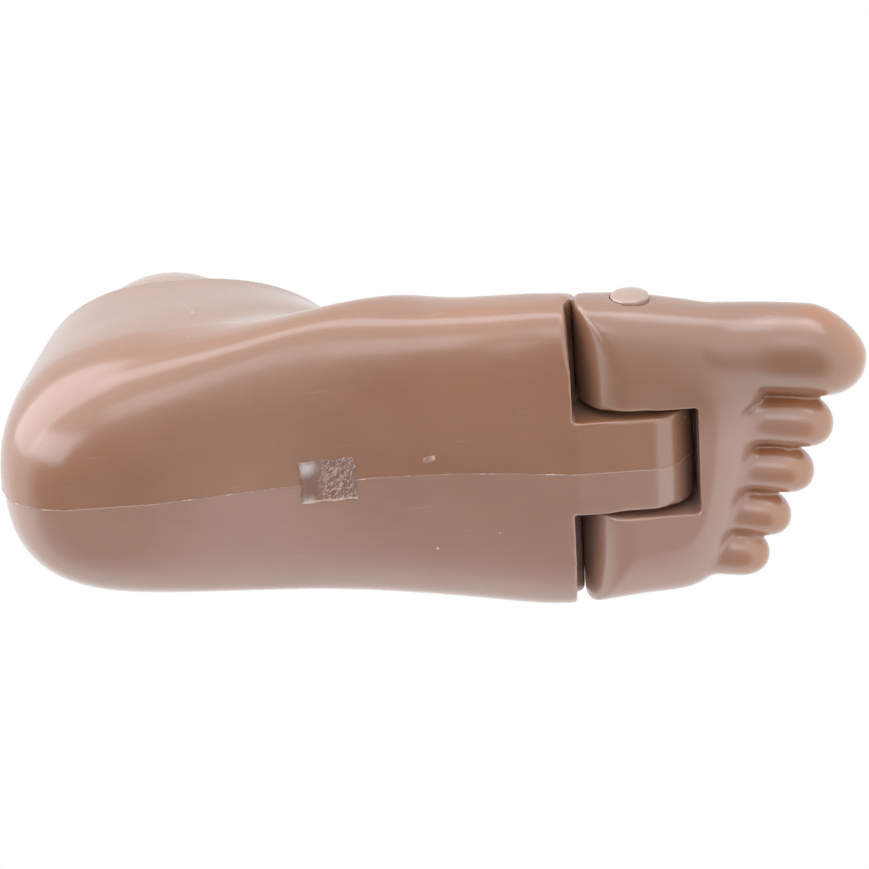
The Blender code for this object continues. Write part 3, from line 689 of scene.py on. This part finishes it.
def make_insert():
    top = BALL.z + BALL_TOP
    low = top - INSERT_LENGTH
    threads = [(5.0 + 0.32 * (k % 2), low + 0.5 + k * 0.5) for k in range(20)]
    profile = [
        (5.6, top),
        (INSERT_RADIUS, top),
        (INSERT_RADIUS, top - 3.5),
        (INSERT_RADIUS - 0.7, top - 4.2),
        (INSERT_RADIUS - 0.7, top - 6.8),
        (INSERT_RADIUS, top - 7.5),
        (INSERT_RADIUS, low),
        (5.3, low),
        *threads,
    ]
    return turned("leg_insert_form", profile, (BALL.x, 0, 0), "Z", 96, closed=True)


def make_cross_pin():
    low, high, r = BALL_PIN_END, BALL_RADIUS - 1.2, BALL_PIN_RADIUS
    profile = [(0, low), (r, low), (r, high), (0, high)]
    return turned("ball_pin_form", rounded(profile, 0.5), BALL, "Y", 64)


def make_ball():
    """The ball of the ankle, as the CAD cuts it but finely rounded, with a soft edge to its flat top."""
    crown = math.acos(BALL_TOP / BALL_RADIUS)
    arc = [(BALL_RADIUS * math.sin(a), BALL_RADIUS * math.cos(a)) for a in np.linspace(crown, math.pi, 90)]
    profile = rounded([(0, BALL_TOP), *arc[:-1], (0, -BALL_RADIUS)], 1.2)
    body = turned("ankle_ball_form", profile, BALL, "Z", 160)
    eye, lean = EYE_RADIUS + 3 * CLEARANCE, math.radians(TILT_DEGREES)
    mouth = (SEAT_RADIUS + 1) * math.tan(lean) + BLADE_X / math.cos(lean) + CLEARANCE
    room, foot = BLADE_Y + CLEARANCE, -SEAT_RADIUS - 1
    corners = [(-eye, 0), (eye, 0), (mouth, foot), (-mouth, foot)]
    wedge = loft("tilt_slot", [[BALL + Vector((x, y, z)) for x, z in corners] for y in (-room, room)])
    cuts = [wedge, rod("eye_room", eye, BALL, -room, room, "Y", 72)]
    pin_low, pocket_low = BALL_PIN_END - CLEARANCE, BALL_TOP - INSERT_LENGTH - CLEARANCE
    cuts.append(rod("pin_hole", BALL_PIN_RADIUS + CLEARANCE, BALL, pin_low, FAR / 2, "Y", 48))
    cuts.append(rod("pocket", INSERT_RADIUS + CLEARANCE, BALL, pocket_low, FAR / 2, "Z", 96))
    return combine(body, "DIFFERENCE", *cuts)


# Materials


# The sole rises by this times the fourth power of the distance from its middle, in metres
SOLE_CURL = 2300.0


def material(name, colour, roughness, metallic=0.0):
    made = bpy.data.materials.new(name)
    made.use_nodes = True
    shader = made.node_tree.nodes["Principled BSDF"]
    shader.inputs["Base Color"].default_value = (*colour, 1.0)
    shader.inputs["Roughness"].default_value = roughness
    shader.inputs["Metallic"].default_value = metallic
    return made, made.node_tree, shader


def node(tree, kind, **values):
    made = tree.nodes.new(kind)
    for key, value in values.items():
        if key in made.inputs:
            made.inputs[key].default_value = value
        else:
            setattr(made, key, value)
    return made


def ramp(tree, value, low, high, start=0.0, end=1.0):
    made = node(tree, "ShaderNodeMapRange", interpolation_type="SMOOTHSTEP")
    for key, number in (("From Min", low), ("From Max", high), ("To Min", start), ("To Max", end)):
        made.inputs[key].default_value = number
    tree.links.new(value, made.inputs["Value"])
    return made.outputs["Result"]


def blend(tree, share, a, b):
    """Mixes two colours, each a tuple or a socket."""
    made = node(tree, "ShaderNodeMix", data_type="RGBA")
    for key, colour in ((6, a), (7, b)):
        if isinstance(colour, tuple):
            made.inputs[key].default_value = (*colour, 1.0)
        else:
            tree.links.new(colour, made.inputs[key])
    tree.links.new(share, made.inputs[0])
    return made.outputs[2]


def product(tree, a, b):
    made = node(tree, "ShaderNodeMath", operation="MULTIPLY")
    tree.links.new(a, made.inputs[0])
    if isinstance(b, float):
        made.inputs[1].default_value = b
    else:
        tree.links.new(b, made.inputs[1])
    return made.outputs[0]


def grain(tree, place, stretch, scale, detail=3.0, turn=0.0):
    """Noise stretched along some of the foot's axes, after a turn about Z."""
    if turn:
        turned_place = node(tree, "ShaderNodeMapping")
        turned_place.inputs["Rotation"].default_value = (0, 0, turn)
        tree.links.new(place, turned_place.inputs["Vector"])
        place = turned_place.outputs["Vector"]
    move = node(tree, "ShaderNodeMapping")
    move.inputs["Scale"].default_value = stretch
    tree.links.new(place, move.inputs["Vector"])
    made = node(tree, "ShaderNodeTexNoise", Scale=scale, Detail=detail, Roughness=0.6)
    tree.links.new(move.outputs["Vector"], made.inputs["Vector"])
    return made.outputs["Fac"]


def specks(tree, place, scale, keep, size=0.045):
    """A few tiny dots: the middles of some of the cells of a Voronoi pattern."""
    cells = node(tree, "ShaderNodeTexVoronoi", Scale=scale)
    tree.links.new(place, cells.inputs["Vector"])
    spread = node(tree, "ShaderNodeSeparateColor")
    tree.links.new(cells.outputs["Color"], spread.inputs[0])
    chosen = node(tree, "ShaderNodeMath", operation="GREATER_THAN")
    tree.links.new(spread.outputs[0], chosen.inputs[0])
    chosen.inputs[1].default_value = 1 - keep
    return product(tree, chosen.outputs[0], ramp(tree, cells.outputs["Distance"], size, size * 0.6))


def bump(tree, shader, height, strength, distance):
    made = node(tree, "ShaderNodeBump", Strength=strength, Distance=distance)
    tree.links.new(height, made.inputs["Height"])
    tree.links.new(made.outputs["Normal"], shader.inputs["Normal"])


def hinge_gap_shade_and_dulling(tree, split):
    """How deep a point lies in the gaps of the hinge and the tongue. There the colour is darkened as painted
    shade, and the surface is made duller, where the mould was never polished.
    """
    across = node(tree, "ShaderNodeMath", operation="ABSOLUTE")
    tree.links.new(split.outputs["Y"], across.inputs[0])
    curl = node(tree, "ShaderNodeMath", operation="POWER")
    tree.links.new(across.outputs[0], curl.inputs[0])
    curl.inputs[1].default_value = 4.0
    above_sole = node(tree, "ShaderNodeMath", operation="MULTIPLY_ADD")
    tree.links.new(curl.outputs[0], above_sole.inputs[0])
    above_sole.inputs[1].default_value = -SOLE_CURL
    tree.links.new(split.outputs["Z"], above_sole.inputs[2])
    height = ramp(tree, above_sole.outputs[0], 0.0028, 0.0070)
    under_top = ramp(tree, split.outputs["Z"], 0.022, 0.019)
    from_heel = ramp(tree, split.outputs["X"], 0.030, 0.035)
    from_toes = ramp(tree, split.outputs["X"], 0.0775, 0.0765)
    along = product(tree, from_heel, from_toes)
    upright = product(tree, height, under_top)
    return product(tree, product(tree, upright, along), ramp(tree, across.outputs[0], 0.0405, 0.038))


def plastic(name, colour, dark, tip=None, lateral=None, gloss=0.17):
    """Moulded plastic: a faint mottle, fine lengthwise scratches, dust, and a little light under the skin. On
    the toes it paints an orange glow at the tips and in the clefts, and in the hinge gaps it paints shade.
    """
    made, tree, shader = material(name, colour, 0.22)
    link = tree.links.new
    shader.inputs["Specular IOR Level"].default_value = 0.95
    shader.inputs["Coat Roughness"].default_value = gloss
    shader.inputs["Subsurface Weight"].default_value = 0.15
    shader.inputs["Subsurface Radius"].default_value = (1.0, 0.42, 0.2)
    shader.inputs["Subsurface Scale"].default_value = 0.004
    place = node(tree, "ShaderNodeTexCoord").outputs["Object"]
    split = node(tree, "ShaderNodeSeparateXYZ")
    link(place, split.inputs[0])
    mottle = grain(tree, place, (0.7, 1, 1), 34.0, 4.0)
    tone = blend(tree, ramp(tree, mottle, 0.3, 0.62), dark, colour)
    if lateral:
        tone = blend(tree, ramp(tree, split.outputs["Y"], -0.022, -0.004), tone, lateral)
    if tip:
        # Painted glow: the toes turn more orange towards their tips, in place of light shining through the
        # thin plastic.
        along = node(tree, "ShaderNodeVectorMath", operation="DOT_PRODUCT")
        link(place, along.inputs[0])
        along.inputs[1].default_value = (1.0, 0.48, 0.0)
        tone = blend(tree, ramp(tree, along.outputs["Value"], 0.090, 0.108, 0.0, 0.8), tone, tip)
        # Painted glow: past the ball, between the sole and the toes' tops where the clefts lie, the colour
        # turns a deeper orange, in place of light shining through thin plastic.
        above_sole = ramp(tree, split.outputs["Z"], 0.003, 0.009)
        below_top = ramp(tree, split.outputs["Z"], 0.018, 0.012)
        past_ball = ramp(tree, along.outputs["Value"], 0.080, 0.092)
        thin = product(tree, past_ball, product(tree, above_sole, below_top))
        tone = blend(tree, thin, tone, (0.34, 0.125, 0.045))
    scratch = ramp(tree, grain(tree, place, (0.06, 1.4, 1), 900.0, 2.0, 0.05), 0.66, 0.8)
    tone = blend(tree, product(tree, scratch, 0.12), tone, (0.62, 0.5, 0.44))
    tone = blend(tree, product(tree, specks(tree, place, 170.0, 0.06, 0.075), 0.7), tone, (0.85, 0.74, 0.66))
    tone = blend(tree, product(tree, specks(tree, place, 110.0, 0.01, 0.05), 0.5), tone, (0.12, 0.07, 0.05))
    inner = hinge_gap_shade_and_dulling(tree, split)
    # Painted shade: deep in the hinge gaps the base colour darkens towards near black, where shade falls.
    link(blend(tree, product(tree, inner, 0.42), tone, (0.06, 0.034, 0.024)), shader.inputs["Base Color"])
    link(ramp(tree, inner, 0.0, 1.0, 0.9, 0.0), shader.inputs["Coat Weight"])
    polish = ramp(tree, grain(tree, place, (1, 1, 1), 120.0), 0.3, 0.7, 0.19, 0.26)
    dull = node(tree, "ShaderNodeMath", operation="ADD")
    link(polish, dull.inputs[0])
    link(product(tree, inner, 0.45), dull.inputs[1])
    link(dull.outputs[0], shader.inputs["Roughness"])
    ripples = grain(tree, place, (0.35, 1, 1), 260.0, 5.0)
    bump(tree, shader, ripples, 0.08, 0.0005)
    return made


def torn_plastic():
    """The torn gate: brown plastic with paler diagonal tears, whitened by stress at two corners."""
    made, tree, shader = material("torn_plastic", (0.25, 0.13, 0.085), 0.28)
    link = tree.links.new
    shader.inputs["Specular IOR Level"].default_value = 0.7
    shader.inputs["Coat Weight"].default_value = 0.3
    shader.inputs["Coat Roughness"].default_value = 0.12
    place = node(tree, "ShaderNodeTexCoord").outputs["Object"]
    tears = ramp(tree, grain(tree, place, (0.4, 1.4, 1), 2100.0, 4.0, 0.785), 0.46, 0.66)
    split = node(tree, "ShaderNodeSeparateXYZ")
    link(place, split.inputs[0])
    toe_side = ramp(tree, split.outputs["X"], -0.0330, -0.0295)
    tone = blend(tree, product(tree, tears, toe_side), (0.205, 0.098, 0.064), (0.62, 0.45, 0.40))
    cloud = ramp(tree, grain(tree, place, (1, 1, 1), 500.0, 3.0), 0.3, 0.55, 0.5, 1.0)
    for y, reach, pale in ((-0.0050, 0.0044, (0.54, 0.48, 0.47)), (0.0060, 0.0034, (0.52, 0.43, 0.40))):
        gap = node(tree, "ShaderNodeVectorMath", operation="DISTANCE")
        link(place, gap.inputs[0])
        gap.inputs[1].default_value = (-0.0352, y, 0.0063)
        near_corner = ramp(tree, gap.outputs["Value"], reach, reach * 0.1)
        tone = blend(tree, product(tree, near_corner, cloud), tone, pale)
    lateral_line = ramp(tree, split.outputs["Y"], 0.0054, 0.0058)
    tone = blend(tree, product(tree, lateral_line, 0.8), tone, (0.66, 0.48, 0.40))
    link(tone, shader.inputs["Base Color"])
    bump(tree, shader, tears, 0.4, 0.0003)
    return made


def flash_plastic():
    """The thin flash, which whitens here and there where it has been bent."""
    made, tree, shader = material("flash_plastic", (0.5, 0.34, 0.27), 0.3)
    place = node(tree, "ShaderNodeTexCoord").outputs["Object"]
    tone = ramp(tree, grain(tree, place, (1, 1, 1), 260.0, 4.0), 0.48, 0.66)
    tree.links.new(blend(tree, tone, (0.34, 0.19, 0.135), (0.62, 0.47, 0.40)), shader.inputs["Base Color"])
    return made


def metal(name, colour, dull, roughness, streak):
    """Bright metal with machining streaks and a duller bloom in patches."""
    made, tree, shader = material(name, colour, roughness, 1.0)
    place = node(tree, "ShaderNodeTexCoord").outputs["Object"]
    patches = ramp(tree, grain(tree, place, (1, 1, 1), 180.0, 4.0), 0.35, 0.65)
    tree.links.new(blend(tree, patches, dull, colour), shader.inputs["Base Color"])
    lines = grain(tree, place, streak, 700.0, 3.0)
    polish = ramp(tree, lines, 0.3, 0.7, roughness - 0.06, roughness + 0.14)
    tree.links.new(polish, shader.inputs["Roughness"])
    bump(tree, shader, lines, 0.12, 0.0002)
    return made


def nylon():
    made, tree, shader = material("nylon", (0.62, 0.55, 0.45), 0.45)
    shader.inputs["Subsurface Weight"].default_value = 0.2
    shader.inputs["Subsurface Scale"].default_value = 0.002
    place = node(tree, "ShaderNodeTexCoord").outputs["Object"]
    cloud = ramp(tree, grain(tree, place, (1, 1, 1), 90.0, 4.0), 0.3, 0.7)
    tree.links.new(blend(tree, cloud, (0.50, 0.43, 0.34), (0.66, 0.60, 0.50)), shader.inputs["Base Color"])
    fine = grain(tree, place, (1, 1, 1), 1500.0, 3.0)
    bump(tree, shader, fine, 0.15, 0.0002)
    return made


# tip is the colour of the painted glow at the toes' tips.
TOE_TONES = {"tip": (0.40, 0.175, 0.08), "lateral": (0.36, 0.198, 0.146), "gloss": 0.24}


def build_materials():
    return {
        "medial": plastic("rear_medial", (0.31, 0.148, 0.085), (0.285, 0.132, 0.075)),
        "lateral": plastic("rear_lateral", (0.345, 0.192, 0.140), (0.320, 0.175, 0.126)),
        "toe": plastic("toe", (0.285, 0.138, 0.082), (0.265, 0.126, 0.074), **TOE_TONES),
        "ball": plastic("ball", (0.40, 0.26, 0.21), (0.37, 0.24, 0.19)),
        "pin": plastic("pin", (0.40, 0.27, 0.215), (0.37, 0.245, 0.195)),
        "torn": torn_plastic(),
        "flash": flash_plastic(),
        "steel": metal("bright_steel", (0.62, 0.62, 0.64), (0.50, 0.50, 0.52), 0.30, (1, 0.05, 1)),
        "brass": metal("turned_brass", (0.78, 0.58, 0.28), (0.62, 0.45, 0.20), 0.30, (1, 1, 0.05)),
        "nylon": nylon(),
    }


# Stage


BACK = Vector((0.0, -math.sin(math.radians(26.0)), -math.cos(math.radians(26.0))))
IMAGE_UP = Vector((0.0, -math.cos(math.radians(26.0)), math.sin(math.radians(26.0))))
IMAGE_RIGHT = Vector((1.0, 0.0, 0.0))


def from_camera(off_axis, round_axis):
    """A direction, by its angle off the way to the camera and its angle round that, from the toes' side."""
    a, b = math.radians(off_axis), math.radians(round_axis)
    return math.sin(a) * (math.cos(b) * IMAGE_RIGHT + math.sin(b) * IMAGE_UP) + math.cos(a) * BACK


def make_camera():
    """The view from below and a little to the medial side, with the foot turned by 4 degrees."""
    roll = math.radians(4.0)
    right = IMAGE_RIGHT * math.cos(roll) - IMAGE_UP * math.sin(roll)
    data = bpy.data.cameras.new("camera")
    data.lens = 134.86
    data.sensor_width = 36.0
    data.clip_start, data.clip_end = 0.05, 100.0
    camera = bpy.data.objects.new("camera", data)
    bpy.context.scene.collection.objects.link(camera)
    camera.rotation_mode = "QUATERNION"
    camera.rotation_quaternion = Matrix((right, BACK.cross(right), BACK)).transposed().to_quaternion()
    camera.location = at(IMAGE_UP * 13.82) + BACK * 0.9
    bpy.context.scene.camera = camera


def area_light(name, direction, distance, size, radiance):
    """A soft panel that faces the foot from a direction, as bright as its radiance."""
    data = bpy.data.lights.new(name, "AREA")
    data.shape = "RECTANGLE"
    data.size, data.size_y = size
    data.energy = radiance * math.pi * size[0] * size[1]
    data.color = (0.93, 0.97, 1.06)
    lamp = bpy.data.objects.new(name, data)
    bpy.context.scene.collection.objects.link(lamp)
    lamp.location = direction * distance + Vector((0, 0, 0.02))
    lamp.rotation_mode = "QUATERNION"
    lamp.rotation_quaternion = direction.to_track_quat("Z", "Y")
    lamp.visible_camera = False
    return lamp


def make_world():
    """A white studio, dimmer low on the lateral side, that the camera itself sees as plain white."""
    world = bpy.data.worlds.new("studio")
    bpy.context.scene.world = world
    world.use_nodes = True
    tree = world.node_tree
    shade = tree.nodes["Background"]
    way = node(tree, "ShaderNodeTexCoord").outputs["Generated"]
    dim = node(tree, "ShaderNodeVectorMath", operation="DOT_PRODUCT")
    tree.links.new(way, dim.inputs[0])
    dim.inputs[1].default_value = from_camera(*DARK_SIDE[:2])
    low, high = (math.cos(math.radians(a)) for a in DARK_SIDE[2:])
    level = ramp(tree, dim.outputs["Value"], high, low, WORLD_LEVEL, DARK_LEVEL)
    behind = node(tree, "ShaderNodeVectorMath", operation="DOT_PRODUCT")
    tree.links.new(way, behind.inputs[0])
    behind.inputs[1].default_value = from_camera(148, 105)
    level = product(tree, level, ramp(tree, behind.outputs["Value"], 0.45, 0.9, 1.0, 0.72))
    seen = node(tree, "ShaderNodeLightPath").outputs["Is Camera Ray"]
    mixed = node(tree, "ShaderNodeMix", data_type="FLOAT")
    tree.links.new(seen, mixed.inputs[0])
    tree.links.new(level, mixed.inputs[2])
    mixed.inputs[3].default_value = 1.0
    tree.links.new(mixed.outputs[0], shade.inputs["Strength"])
    shade.inputs["Color"].default_value = (1.0, 1.0, 1.0, 1.0)


FLOOR_Z = -2.6  # metres, well below the foot, because the view is from below it
WORLD_LEVEL = 1.2
DARK_LEVEL = 0.2
DARK_SIDE = (44, 240, 14, 52)
PANELS = (
    ("key", 84, 144, 1.2, (1.3, 1.2), 1.5),
    ("heel_strip", 48, 180, 1.0, (0.36, 0.85), 2.15),
    ("front", 14, 128, 1.3, (0.55, 0.45), 0.8),
    ("top", 64, 96, 1.3, (1.1, 0.5), 1.5),
    ("toe_side", 54, 62, 1.0, (0.4, 0.5), 1.4),
)


def make_stage():
    corners = [(x, y, FLOOR_Z) for x, y in ((-40, -40), (40, -40), (40, 40), (-40, 40))]
    floor = from_arrays("floor", corners, [(0, 1, 2, 3)])
    pale, _, _ = material("pale_floor", (0.85, 0.85, 0.85), 0.8)
    floor.data.materials.append(pale)
    floor.visible_diffuse = floor.visible_glossy = floor.visible_shadow = False
    make_world()
    for name, off_axis, round_axis, distance, size, radiance in PANELS:
        area_light(name, from_camera(off_axis, round_axis), distance, size, radiance)


KEPT = {
    "hinge_bush": "nylon",
    "hinge_washer_medial": "toe",
    "hinge_washer_lateral": "toe",
    "ankle_spindle": "steel",
    "spindle_washer": "steel",
    "spindle_nut": "steel",
}


def main():
    bpy.context.scene.view_settings.view_transform = "Standard"
    mats = build_materials()
    for name, look in KEPT.items():
        kept = bpy.data.objects[name]
        kept.data.materials.clear()
        kept.data.materials.append(mats[look])
    medial, lateral, (scar, fleck, flash) = make_shells()
    finish_piece(medial, "rear_foot", "rear_medial_plastic", mats["medial"], "rear_shell_medial")
    finish_piece(lateral, "rear_foot", "rear_lateral_plastic", mats["lateral"], "rear_shell_lateral")
    finish_piece(scar, "rear_foot", "rear_medial_plastic", mats["torn"])
    finish_piece(fleck, "rear_foot", "rear_medial_plastic", mats["flash"])
    finish_piece(flash, "rear_foot", "rear_lateral_plastic", mats["flash"])
    for screw, replaced in make_screws():
        finish_piece(screw, "rear_foot", "steel", mats["steel"], replaced)
    toe_body = make_toe_body()
    finish_piece(make_nails(toe_body), "toe_section", "toe_plastic", mats["toe"])
    finish_piece(toe_body, "toe_section", "toe_plastic", mats["toe"], "toe_body")
    finish_piece(make_pin(), "toe_section", "pin_plastic", mats["pin"], "hinge_pin")
    finish_piece(make_cap(), "toe_section", "pin_plastic", mats["pin"], "hinge_pin_cap")
    finish_piece(make_ball(), "ankle_ball_body", "ball_plastic", mats["ball"], "ankle_ball")
    finish_piece(make_cross_pin(), "ankle_ball_body", "steel", mats["steel"], "ball_pin")
    finish_piece(make_insert(), "ankle_ball_body", "brass", mats["brass"], "leg_insert")
    make_camera()
    make_stage()


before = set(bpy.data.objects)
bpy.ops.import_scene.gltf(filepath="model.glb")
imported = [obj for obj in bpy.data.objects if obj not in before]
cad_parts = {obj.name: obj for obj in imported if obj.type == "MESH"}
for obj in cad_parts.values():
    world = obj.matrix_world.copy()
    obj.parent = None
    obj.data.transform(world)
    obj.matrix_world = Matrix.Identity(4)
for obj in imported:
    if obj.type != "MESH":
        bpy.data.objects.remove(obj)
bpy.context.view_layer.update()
main()
